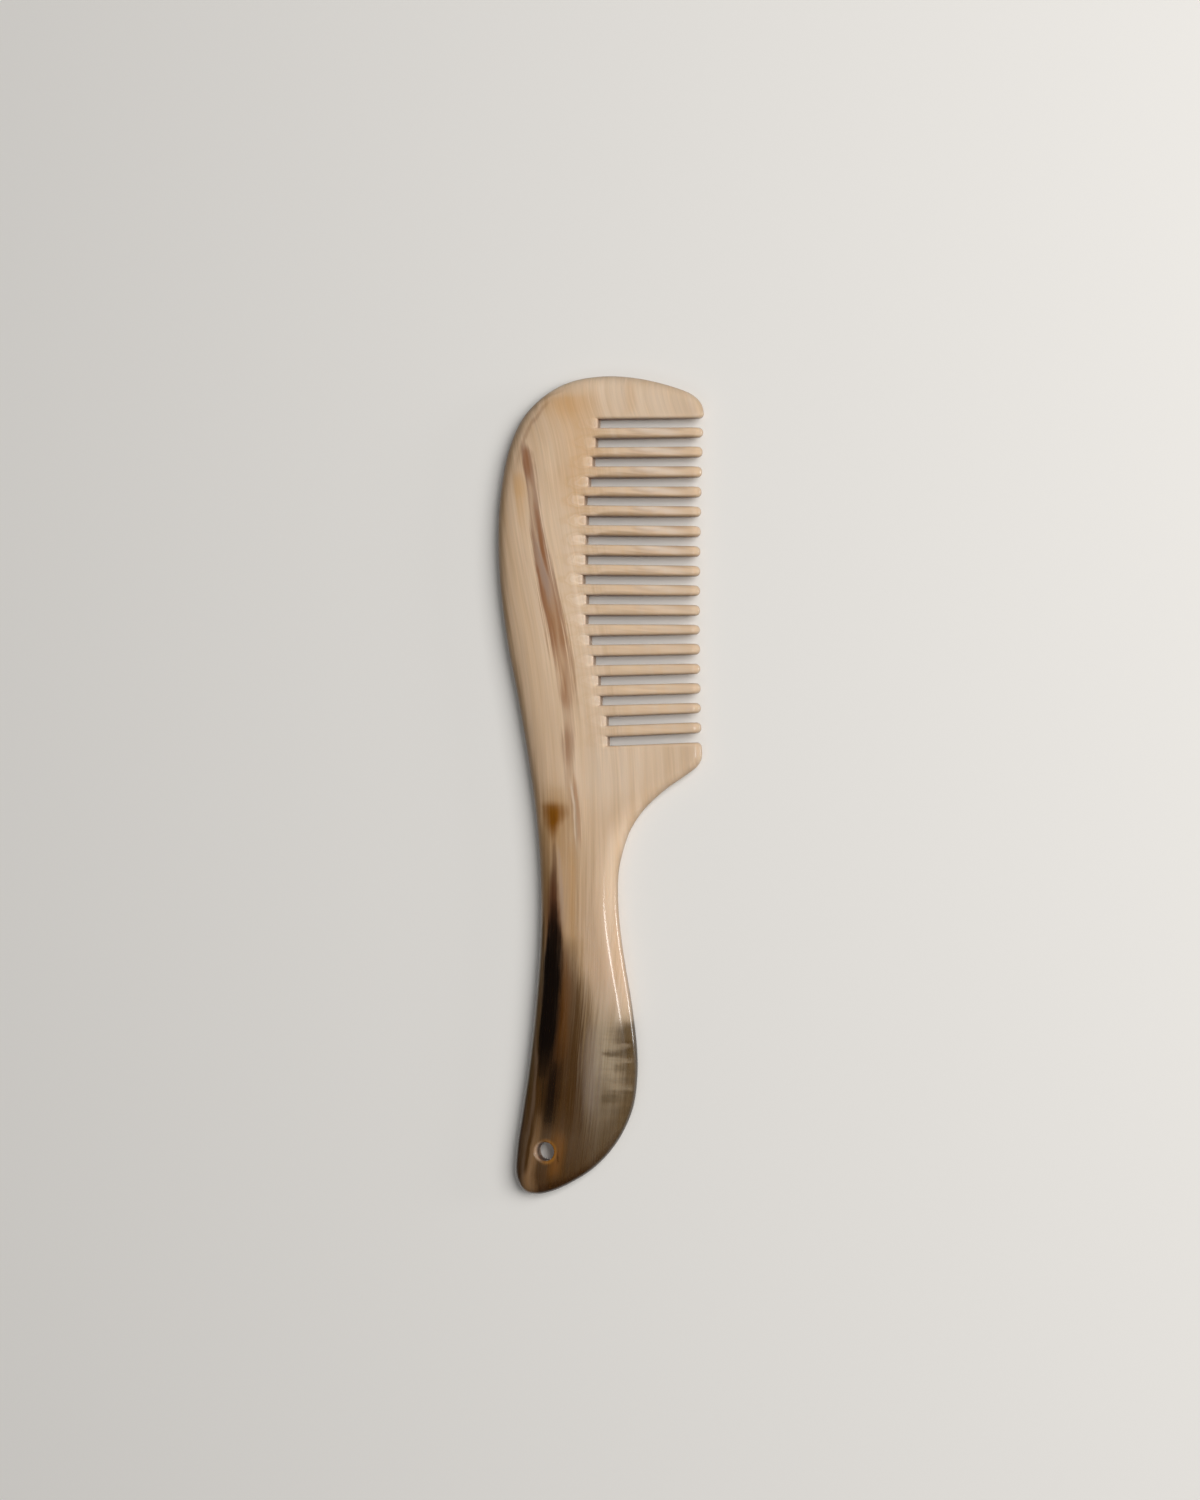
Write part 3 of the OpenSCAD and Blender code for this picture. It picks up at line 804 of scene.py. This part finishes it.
def curves_by_rows(along, rows, scales):
    """Up to three smooth curves by place, from rows of [place, values]; scales bring the
    place and each value to about one. Beyond its rows a curve stays level."""
    made = add_node(along.id_data, "VectorCurve")
    made.mapping.use_clip = False
    made.mapping.extend = "HORIZONTAL"
    rows = sorted([part / scale for part, scale in zip(row, scales)] for row in rows)
    rows = [[rows[0][0] - LEVEL_RUN, *rows[0][1:]], *rows, [rows[-1][0] + LEVEL_RUN, *rows[-1][1:]]]
    for column, curve in enumerate(made.mapping.curves[:len(scales) - 1], 1):
        curve.points[0].location = rows[0][0], rows[0][column]
        curve.points[-1].location = rows[-1][0], rows[-1][column]
        for row in rows[1:-1]:
            curve.points.new(row[0], row[column])
        for point in curve.points:
            point.handle_type = "AUTO_CLAMPED"
    made.mapping.update()
    share = work_out("DIVIDE", along, scales[0])
    feed(made.inputs["Vector"], joined(share, share, share))
    return made.outputs[0]


def curve_by_rows(along, rows, reach):
    """One smooth curve by place, from rows of [place, value]."""
    return parts_of(curves_by_rows(along, rows, (reach, 1)))[0]


def new_group(name, inputs, outputs):
    """An empty group, what is given to it, and the node that takes its results."""
    group = bpy.data.node_groups.new(name, "ShaderNodeTree")
    for way, sockets in (("INPUT", inputs), ("OUTPUT", outputs)):
        for socket, kind in sockets.items():
            group.interface.new_socket(socket, in_out=way, socket_type="NodeSocket" + kind)
    return group, group.nodes.new("NodeGroupInput").outputs, group.nodes.new("NodeGroupOutput")


def streak_group():
    """How much of a mark shows at a place: its line holds centre, half width and strength."""
    inputs = {"Across": "Float", "Line": "Vector", "Fibre": "Float", "Soft": "Float", "Ragged": "Float"}
    tree, given, made = new_group("streak", inputs, {"Amount": "Float"})
    centre, half, strength = parts_of(given["Line"])
    gap = work_out("ABSOLUTE", less(given["Across"], times(centre, WIDE_REACH)))
    share = work_out("DIVIDE", gap, times(half, WIDE_REACH))
    torn = times(less(given["Fibre"], 0.5), given["Ragged"])
    outside = work_out("ADD", given["Soft"], 1)
    inside = less(1, given["Soft"])
    edge = step(times_plus(torn, 2, share), outside, inside)
    feed_all(made, {"Amount": work_out("MULTIPLY", edge, strength, clamp=True)})
    return tree


def draw_marks(streak, ground, marks, along, reach, across, fibre):
    """Lays each mark over the ground colour; its rows are placed along up to a reach."""
    for mark in marks:
        use = add_node(ground.id_data, "Group", node_tree=streak, label=mark.name)
        line = curves_by_rows(along, mark.rows, (reach, WIDE_REACH, WIDE_REACH, 1))
        feed_all(use, {"Line": line, "Across": across, "Fibre": fibre, "Soft": mark.soft,
                       "Ragged": mark.ragged})
        ground = blend(use.outputs[0], ground, colour(mark.colour))
    return ground


# Noises along the grain: the horn's clouds, bands and fibres, the patches where the fibres
# show fully, the marbling, what the marks wander by, and what the ripples rise and fall by
CLOUDS = Noise((0.11, 0.022, 0.1), 2)
BANDS = Noise((0.55, 0.02, 0.3), 3)
FIBRES = Noise((2.2, 0.05, 0.8), 4, 0.6)
PATCHES = Noise((0.3, 0.05, 0.2), 2)
MARBLE = Noise((0.1, 0.62, 0.2), 3, 0.6)
WANDERING = Noise((0.5, 0.09, 0.2), 3)
RIPPLING = Noise((0.16, 0.5, 0.2), 2)
# Noises of the teeth's figure, of the hollows behind the roots, and of the saw's lines
TOOTH_FIGURE = Noise((0.05, 1.3, 0.3), 3, 0.6)
LUMPS = Noise((0.45, 0.5, 0.3), 3)
SAW_LINES = Noise((4, 4, 0.5), 2)

# The marks slant through the plate by this much for each millimetre down from the shown face
SLANT = 0.25
# How far the marks wander across the grain, and the ripples up and down
WANDER = 1.6
RIPPLE_SWING = 2.4

# Swing of the horn's brightness by its clouds, bands and fibres: in the pale head and in the
# smoky handle, which turns from one to the other between these y
PALE_SWINGS = (0.16, 0.26, 0.54)
SMOKY_SWINGS = (0.22, 0.3, 0.42)
SMOKY_FROM, SMOKY_TO = -32, -58
# Share of the fibres that shows outside the patches, which begin between these levels
CLEAR_SHARE = 0.6
PATCH_FROM, PATCH_TO = 0.42, 0.6
# Strength of the horn's colour, and how much of it the lighter bands lose
SATURATION = 1.02
BAND_PALING = 0.3
# Swing of the teeth's brightness, and how much lighter they are
TOOTH_SWING = 0.3
TOOTH_LIGHT = 0.07
# Swing of the marbling's brightness; its noise is stretched from these levels
MARBLE_SWING = 0.26
MARBLE_DARK, MARBLE_PALE = 0.35, 0.65
# The handle is polished higher than the head, from the one to the other between these y, and
# the tips are worn bright over this length
POLISH_FROM, POLISH_TO = -22, -33
WORN_TIP = 4
# Shares of the bands and of the fibres in the relief
BAND_RELIEF = 0.6
FIBRE_RELIEF = 0.4

# The figure of a tooth runs along it with this slope, and rises between these distances past
# its root
FIGURE_SLOPE = 0.09
FIGURE_FROM, FIGURE_TO = 1, 8

# Hollow left by the polishing wheel behind each root, with painted light and shade: its length and half
# width, how its painted brightness changes outwards [share of the hollow, change], its strength by y,
# and how uneven it is
HOLLOW_LONG = 4.4
HOLLOW_WIDE = 1.7
HOLLOW_SHADING = [
    (0, 0.01), (0.3, -0.02), (0.45, 0.03), (0.6, 0.05), (0.75, -0.02), (0.86, 0.01), (1.02, -0.045),
    (1.25, -0.015), (1.5, 0),
]
HOLLOW_STRENGTH = [
    (86, 0), (82, 0.4), (68, 0.7), (61, 1), (46, 1), (38, 0.6), (20, 0.4), (9, 0.3), (5, 0),
]
HOLLOW_SWING = 1.1
# The darker rings of a hollow's painted shade are stronger in colour, and the lighter rings of its
# painted light paler, by this much for each step of brightness
RING_WARMTH = 2

# Painted shade on the lip of each root, which turns down into the slot over this length: it is darker
# and paler by this much
LIP_LONG = 1.8
LIP_SHADE = 0.14
LIP_PALING = 0.16

# A painted golden glow shows in the horn on one side of the hole, this far from its edge
HOLE_GLOW = 1.2

# The outer rim is darker within this height of the plate's middle, and more so in the smoky handle:
# partly browner horn, partly painted shade
RIM_SHADE_REACH = 1.5
RIM_SHADE_DEPTH = 0.4
SMOKY_RIM_SHADE_DEPTH = 0.72


def slot_places(x, y):
    """Where a place lies among the slots: how far it is past its slot's root, its height with
    the slots' lean taken out, and how far off the middles of its slot and its tooth it is."""
    pitch = (SLOTS[0].y - SLOTS[-1].y) / (len(SLOTS) - 1)
    rows = [(slot.y, slot.x, k, math.tan(math.radians(slot.lean))) for k, slot in enumerate(SLOTS)]
    above = (rows[0][0] + pitch, rows[0][1], -1, 0)
    below = (rows[-1][0] - pitch, rows[-1][1], len(SLOTS), 0)
    rows = [above, *rows, below]
    reaches = (LONG_REACH, WIDE_REACH, len(SLOTS), 1)
    root, _, lean = parts_of(curves_by_rows(y, rows, reaches))
    past_root = times_plus(root, -WIDE_REACH, x)
    level = less(y, times(past_root, lean))
    counts = [(height, 0, k, 0) for height, _, k, _ in rows]
    count = parts_of(curves_by_rows(level, counts, reaches))[1]
    number = times(count, len(SLOTS))
    off_slot = times(off_whole(number), pitch)
    off_tooth = times(off_whole(work_out("ADD", number, 0.5)), -pitch)
    return past_root, level, off_slot, off_tooth


def ground_colour(y):
    ramp = add_node(y.id_data, "ValToRGB")
    feed(ramp.inputs[0], times_plus(y, 0.5 / LONG_REACH, 0.5))
    stops = ramp.color_ramp.elements
    while len(stops) < len(GROUND):
        stops.new(0.5)
    for stop, (height, shade) in zip(stops, sorted(GROUND)):
        stop.position = 0.5 + height / LONG_REACH / 2
        stop.color = colour(shade)
    return ramp.outputs[0]


def light_by_hole(x, y, shown):
    """Lays a painted golden glow beside the hole and a painted highlight on its rim over the horn's
    colour.
    """
    from_hole = distance(less(x, HOLE_X), less(y, HOLE_Y))
    glow = times(step(from_hole, HOLE_R + HOLE_GLOW, HOLE_R), step(x, HOLE_X - HOLE_R, HOLE_X + HOLE_R))
    rim = times(step(from_hole, HOLE_R + RIM_W, HOLE_R), step(x, HOLE_X, HOLE_X - HOLE_R))
    return blend(rim, blend(glow, shown, colour(PAINTED_GLOW)), colour(RIM_LIGHT))


def hollow_light_and_shade(place, y, past_root, off_slot):
    """Painted light and shade of the hollow behind a root, in rings outwards from it."""
    behind = work_out("DIVIDE", work_out("MINIMUM", past_root, 0), HOLLOW_LONG)
    beside = work_out("DIVIDE", off_slot, HOLLOW_WIDE)
    from_root = shifted(distance(behind, beside), noise_at(place, LUMPS), HOLLOW_SWING)
    rings = curve_by_rows(from_root, HOLLOW_SHADING, HOLLOW_SHADING[-1][0])
    return times(rings, curve_by_rows(y, HOLLOW_STRENGTH, LONG_REACH))


def root_lip(past_root, off_slot):
    """How much of the lip of a root is at a place."""
    beside = work_out("ABSOLUTE", off_slot)
    within = step(beside, SLOT_W / 2 + TOOTH_ROUND, SLOT_W / 2 - TOOTH_ROUND)
    return times(step(past_root, -LIP_LONG, 0), within)


def horn_group():
    """The horn's colour, the fibre that shows in its gloss, its polish and its relief, by place
    in metres."""
    outputs = {"Colour": "Color", "Fibre": "Float", "Polish": "Float", "Relief": "Float"}
    tree, given, made = new_group("horn figure", {"Place": "Vector"}, outputs)
    place = in_millimetres(given["Place"])
    x, y, z = parts_of(place)
    grain_line = parts_of(curves_by_rows(y, GRAIN, (LONG_REACH, WIDE_REACH)))[0]
    in_grain = joined(times_plus(grain_line, -WIDE_REACH, x), y, z)
    noises = (CLOUDS, BANDS, FIBRES, PATCHES, MARBLE, WANDERING, RIPPLING)
    clouds, bands, fibres, patches, marble, wander, ripple = (
        noise_at(in_grain, noise) for noise in noises)

    # The teeth and what lies behind them, between the guard and the heel
    past_root, level, off_slot, off_tooth = slot_places(x, y)
    head = times(step(y, SLOTS[-1].y - SLOT_W, SLOTS[-1].y), step(y, SLOTS[0].y + SLOT_W, SLOTS[0].y))
    on_tooth = times(step(past_root, FIGURE_FROM, FIGURE_TO), head)
    off_teeth = step(past_root, FIGURE_TO, FIGURE_FROM)
    down_tooth = times_plus(past_root, FIGURE_SLOPE, level)
    figure = noise_at(joined(x, down_tooth, z), TOOTH_FIGURE)

    # Colour: the ground, the marks, the teeth's lenses, the ripples and the painted glow and highlight
    # by the hole
    across = shifted(times_plus(less(PLATE, z), SLANT, x), wander, WANDER)
    streak = streak_group()
    shown = draw_marks(streak, ground_colour(y), MARKS, y, LONG_REACH, across, fibres)
    along_tooth = times_plus(less(y, LENS_LEVEL), LENS_LEAN, x)
    lensed = draw_marks(streak, shown, TOOTH_MARKS, along_tooth, WIDE_REACH, off_tooth, figure)
    lenses = times(curve_by_rows(y, LENS_STRENGTH, LONG_REACH), head)
    shown = blend(lenses, shown, lensed)
    rise = shifted(y, ripple, RIPPLE_SWING)
    shown = draw_marks(streak, shown, RIPPLES, x, WIDE_REACH, rise, fibres)
    shown = light_by_hole(x, y, shown)

    # Brightness: clouds, bands and fibres, then the teeth, the painted light and shade at the roots, the
    # marbling and the rim's browner horn and painted shade
    smoky = step(y, SMOKY_FROM, SMOKY_TO)
    patchy = work_out("MAXIMUM", step(patches, PATCH_FROM, PATCH_TO), CLEAR_SHARE)
    tone = 1
    swings = zip((clouds, bands, fibres), PALE_SWINGS, SMOKY_SWINGS, (1, 1, patchy))
    for noise, pale, deep, share in swings:
        swing = times_plus(smoky, deep - pale, pale)
        tone = shifted(tone, noise, times(swing, less(1, on_tooth), share))
    tone = times_plus(on_tooth, TOOTH_LIGHT, tone)
    tone = shifted(tone, figure, times(on_tooth, TOOTH_SWING))
    rings = times(hollow_light_and_shade(place, y, past_root, off_slot), off_teeth)
    tone = work_out("ADD", tone, rings)
    lip = times(root_lip(past_root, off_slot), head, off_teeth)
    tone = times_plus(lip, -LIP_SHADE, tone)
    marbled = times(curve_by_rows(y, MARBLING, LONG_REACH),
                    step(shifted(x, wander, MARBLE_EDGE), MARBLE_FROM, MARBLE_TO))
    marble = step(marble, MARBLE_DARK, MARBLE_PALE)
    tone = shifted(tone, marble, times(marbled, MARBLE_SWING))
    # The outer rim: browner horn and painted shade
    rim = step(work_out("ABSOLUTE", less(z, PLATE / 2)), RIM_SHADE_REACH, 0)
    depth = times_plus(smoky, RIM_SHADE_DEPTH - SMOKY_RIM_SHADE_DEPTH, -RIM_SHADE_DEPTH)
    tone = times(tone, times_plus(rim, depth, 1))

    strong = shifted(SATURATION, bands, -BAND_PALING)
    strong = times_plus(rings, -RING_WARMTH, strong)
    strong = times_plus(lip, -LIP_PALING, strong)
    toned = add_node(tree, "HueSaturation")
    feed_all(toned, {"Color": shown, "Value": tone, "Saturation": strong})
    feed_all(made, {
        "Colour": toned.outputs[0],
        "Fibre": fibres,
        "Polish": work_out("MAXIMUM", step(y, POLISH_FROM, POLISH_TO), step(x, TIP_X - WORN_TIP, TIP_X)),
        "Relief": times_plus(bands, BAND_RELIEF, times(fibres, FIBRE_RELIEF)),
    })
    return tree


def new_material(name):
    material = bpy.data.materials.new(name)
    material.use_nodes = True
    tree = material.node_tree
    return material, tree, tree.nodes["Principled BSDF"]


def relief(height, strength, depth):
    """A surface raised by a height, at most to a depth in millimetres."""
    bump = add_node(height.id_data, "Bump")
    feed_all(bump, {"Strength": strength, "Distance": depth * MM, "Height": height})
    return bump.outputs[0]


HORN_IOR = 1.54
# Roughness and clear gloss of the satin head and of the glossy handle, and what the fibres add
SATIN_HEAD, GLOSSY_HANDLE = 0.34, 0.2
FIBRE_ROUGHNESS = 0.16
HEAD_COAT, HANDLE_COAT = 0.15, 0.8
COAT_ROUGHNESS = 0.05
# Light inside the horn: its share, how far it spreads in millimetres, and its red, green and
# blue against that
INNER_LIGHT = 0.12
INNER_SPREAD = 0.8
INNER_COLOURS = (1, 0.6, 0.35)
# Strength and depth of the relief
POLISHED_RELIEF = (0.5, 0.02)
SAWN_RELIEF = (0.6, 0.03)
SAWN_ROUGHNESS = 0.4
# Painted shade: a sawn wall turns brown as it comes to face along the comb between these shares, and the
# roots' walls keep this share of the brown
FACING_FROM, FACING_TO = 0.3, 0.8
ROOT_BROWNING = 0.3


def polished_horn(figure):
    material, tree, shader = new_material("polished horn")
    use = add_node(tree, "Group", node_tree=figure)
    feed(use.inputs["Place"], add_node(tree, "TexCoord").outputs["Object"])
    look = use.outputs
    dull = times_plus(look["Polish"], GLOSSY_HANDLE - SATIN_HEAD, SATIN_HEAD)
    feed_all(shader, {
        "Base Color": look["Colour"],
        "Roughness": times_plus(look["Fibre"], FIBRE_ROUGHNESS, dull),
        "Coat Weight": times_plus(look["Polish"], HANDLE_COAT - HEAD_COAT, HEAD_COAT),
        "Normal": relief(look["Relief"], *POLISHED_RELIEF),
        "IOR": HORN_IOR,
        "Coat Roughness": COAT_ROUGHNESS,
        "Subsurface Weight": INNER_LIGHT,
        "Subsurface Scale": INNER_SPREAD * MM,
        "Subsurface Radius": INNER_COLOURS,
    })
    return material


def sawn_horn(figure):
    material, tree, shader = new_material("sawn horn")
    texture = add_node(tree, "TexCoord").outputs
    use = add_node(tree, "Group", node_tree=figure)
    feed(use.inputs["Place"], texture["Object"])
    # Painted shade: walls that face along the comb, the teeth's sides, are browned most; the roots'
    # walls keep a share
    facing = work_out("ABSOLUTE", parts_of(texture["Normal"])[1])
    painted_wall_shade = work_out("MAXIMUM", step(facing, FACING_FROM, FACING_TO), ROOT_BROWNING)
    lines = noise_at(in_millimetres(texture["Object"]), SAW_LINES)
    feed_all(shader, {
        "Base Color": blend(painted_wall_shade, use.outputs["Colour"], colour(WALL_SHADE_BROWN), "MULTIPLY"),
        "Normal": relief(lines, *SAWN_RELIEF),
        "Roughness": SAWN_ROUGHNESS,
        "IOR": HORN_IOR,
    })
    return material


# Half the floor's side and its gap below the comb, in metres
FLOOR_HALF = 1
FLOOR_GAP = 0.02 * MM
FLOOR_COLOUR = 0xe4e1dc
FLOOR_ROUGHNESS = 0.6


def pale_floor():
    mesh = bpy.data.meshes.new("floor")
    sheet = bmesh.new()
    bmesh.ops.create_grid(sheet, x_segments=1, y_segments=1, size=FLOOR_HALF)
    sheet.to_mesh(mesh)
    sheet.free()
    floor = add_object("floor", mesh)
    floor.location.z = -FLOOR_GAP
    material, _, shader = new_material("pale floor")
    feed_all(shader, {"Base Color": colour(FLOOR_COLOUR), "Roughness": FLOOR_ROUGHNESS})
    mesh.materials.append(material)


# Rectangles of light that face the comb, in degrees and metres. Azimuth 0 is on the side of
# the teeth, 90 past the crown. The size is given level first. A box that isn't in the gloss
# lights the comb without a reflection.
SoftBox = namedtuple("SoftBox", "name azimuth elevation distance size radiance in_gloss")
SOFT_BOXES = [
    SoftBox("key on the teeth's side", 18, 44, 1.3, (1.0, 0.9), 7.2, False),
    SoftBox("fill below the handle", -95, 52, 1.3, (0.9, 0.5), 1.0, False),
    SoftBox("sheet over the spine", 170, 75, 1.5, (1.6, 1.6), 0.22, False),
    SoftBox("strip over the teeth's side", 8.5, 78.6, 1.02, (0.16, 0.09), 11, True),
    SoftBox("low box on the teeth's side", 6.5, 10, 0.9, (0.24, 0.12), 12, True),
]
LOOK_AT = Vector((0, 0, 0.002))
# The backdrop past the floor is pale to look at, and gives hardly any light
BACKDROP = (0.72, 0.7, 0.68, 1)
AIR_LIGHT = 0.04


def add_soft_box(box):
    light = bpy.data.lights.new(box.name, "AREA")
    light.shape = "RECTANGLE"
    light.size, light.size_y = box.size
    light.energy = box.radiance * math.pi * light.size * light.size_y
    made = add_object(box.name, light)
    made.visible_glossy = box.in_gloss
    a, e = math.radians(box.azimuth), math.radians(box.elevation)
    way = Vector((math.cos(e) * math.cos(a), math.cos(e) * math.sin(a), math.sin(e)))
    made.location = LOOK_AT + way * box.distance
    made.rotation_euler = way.to_track_quat("Z", "Y").to_euler()


def light_studio():
    for box in SOFT_BOXES:
        add_soft_box(box)
    world = bpy.data.worlds.new("studio")
    bpy.context.scene.world = world
    world.use_nodes = True
    tree = world.node_tree
    seen = add_node(tree, "LightPath").outputs["Is Camera Ray"]
    feed_all(tree.nodes["Background"], {
        "Color": BACKDROP, "Strength": times_plus(seen, 1 - AIR_LIGHT, AIR_LIGHT)})


# The camera stands over the teeth's side and looks down on the comb
CAMERA_AT = (0.16698, -0.01585, 0.55217)
CAMERA_TURN = (2.492, 16.822, 0.492)
CAMERA_LENS = 60.67
CAMERA_SENSOR = 36
CAMERA_NEAR, CAMERA_FAR = 0.01, 50


def add_camera():
    data = bpy.data.cameras.new("camera")
    data.lens = CAMERA_LENS
    data.sensor_width = CAMERA_SENSOR
    data.sensor_fit = "AUTO"
    data.clip_start = CAMERA_NEAR
    data.clip_end = CAMERA_FAR
    camera = add_object("camera", data)
    camera.location = CAMERA_AT
    camera.rotation_euler = [math.radians(angle) for angle in CAMERA_TURN]
    bpy.context.scene.camera = camera


add_camera()
light_studio()
pale_floor()
bpy.context.scene.view_settings.view_transform = "Standard"

comb = add_comb()
figure = horn_group()
comb.data.materials.append(polished_horn(figure))
comb.data.materials.append(sawn_horn(figure))
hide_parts("comb")
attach(comb, "root")
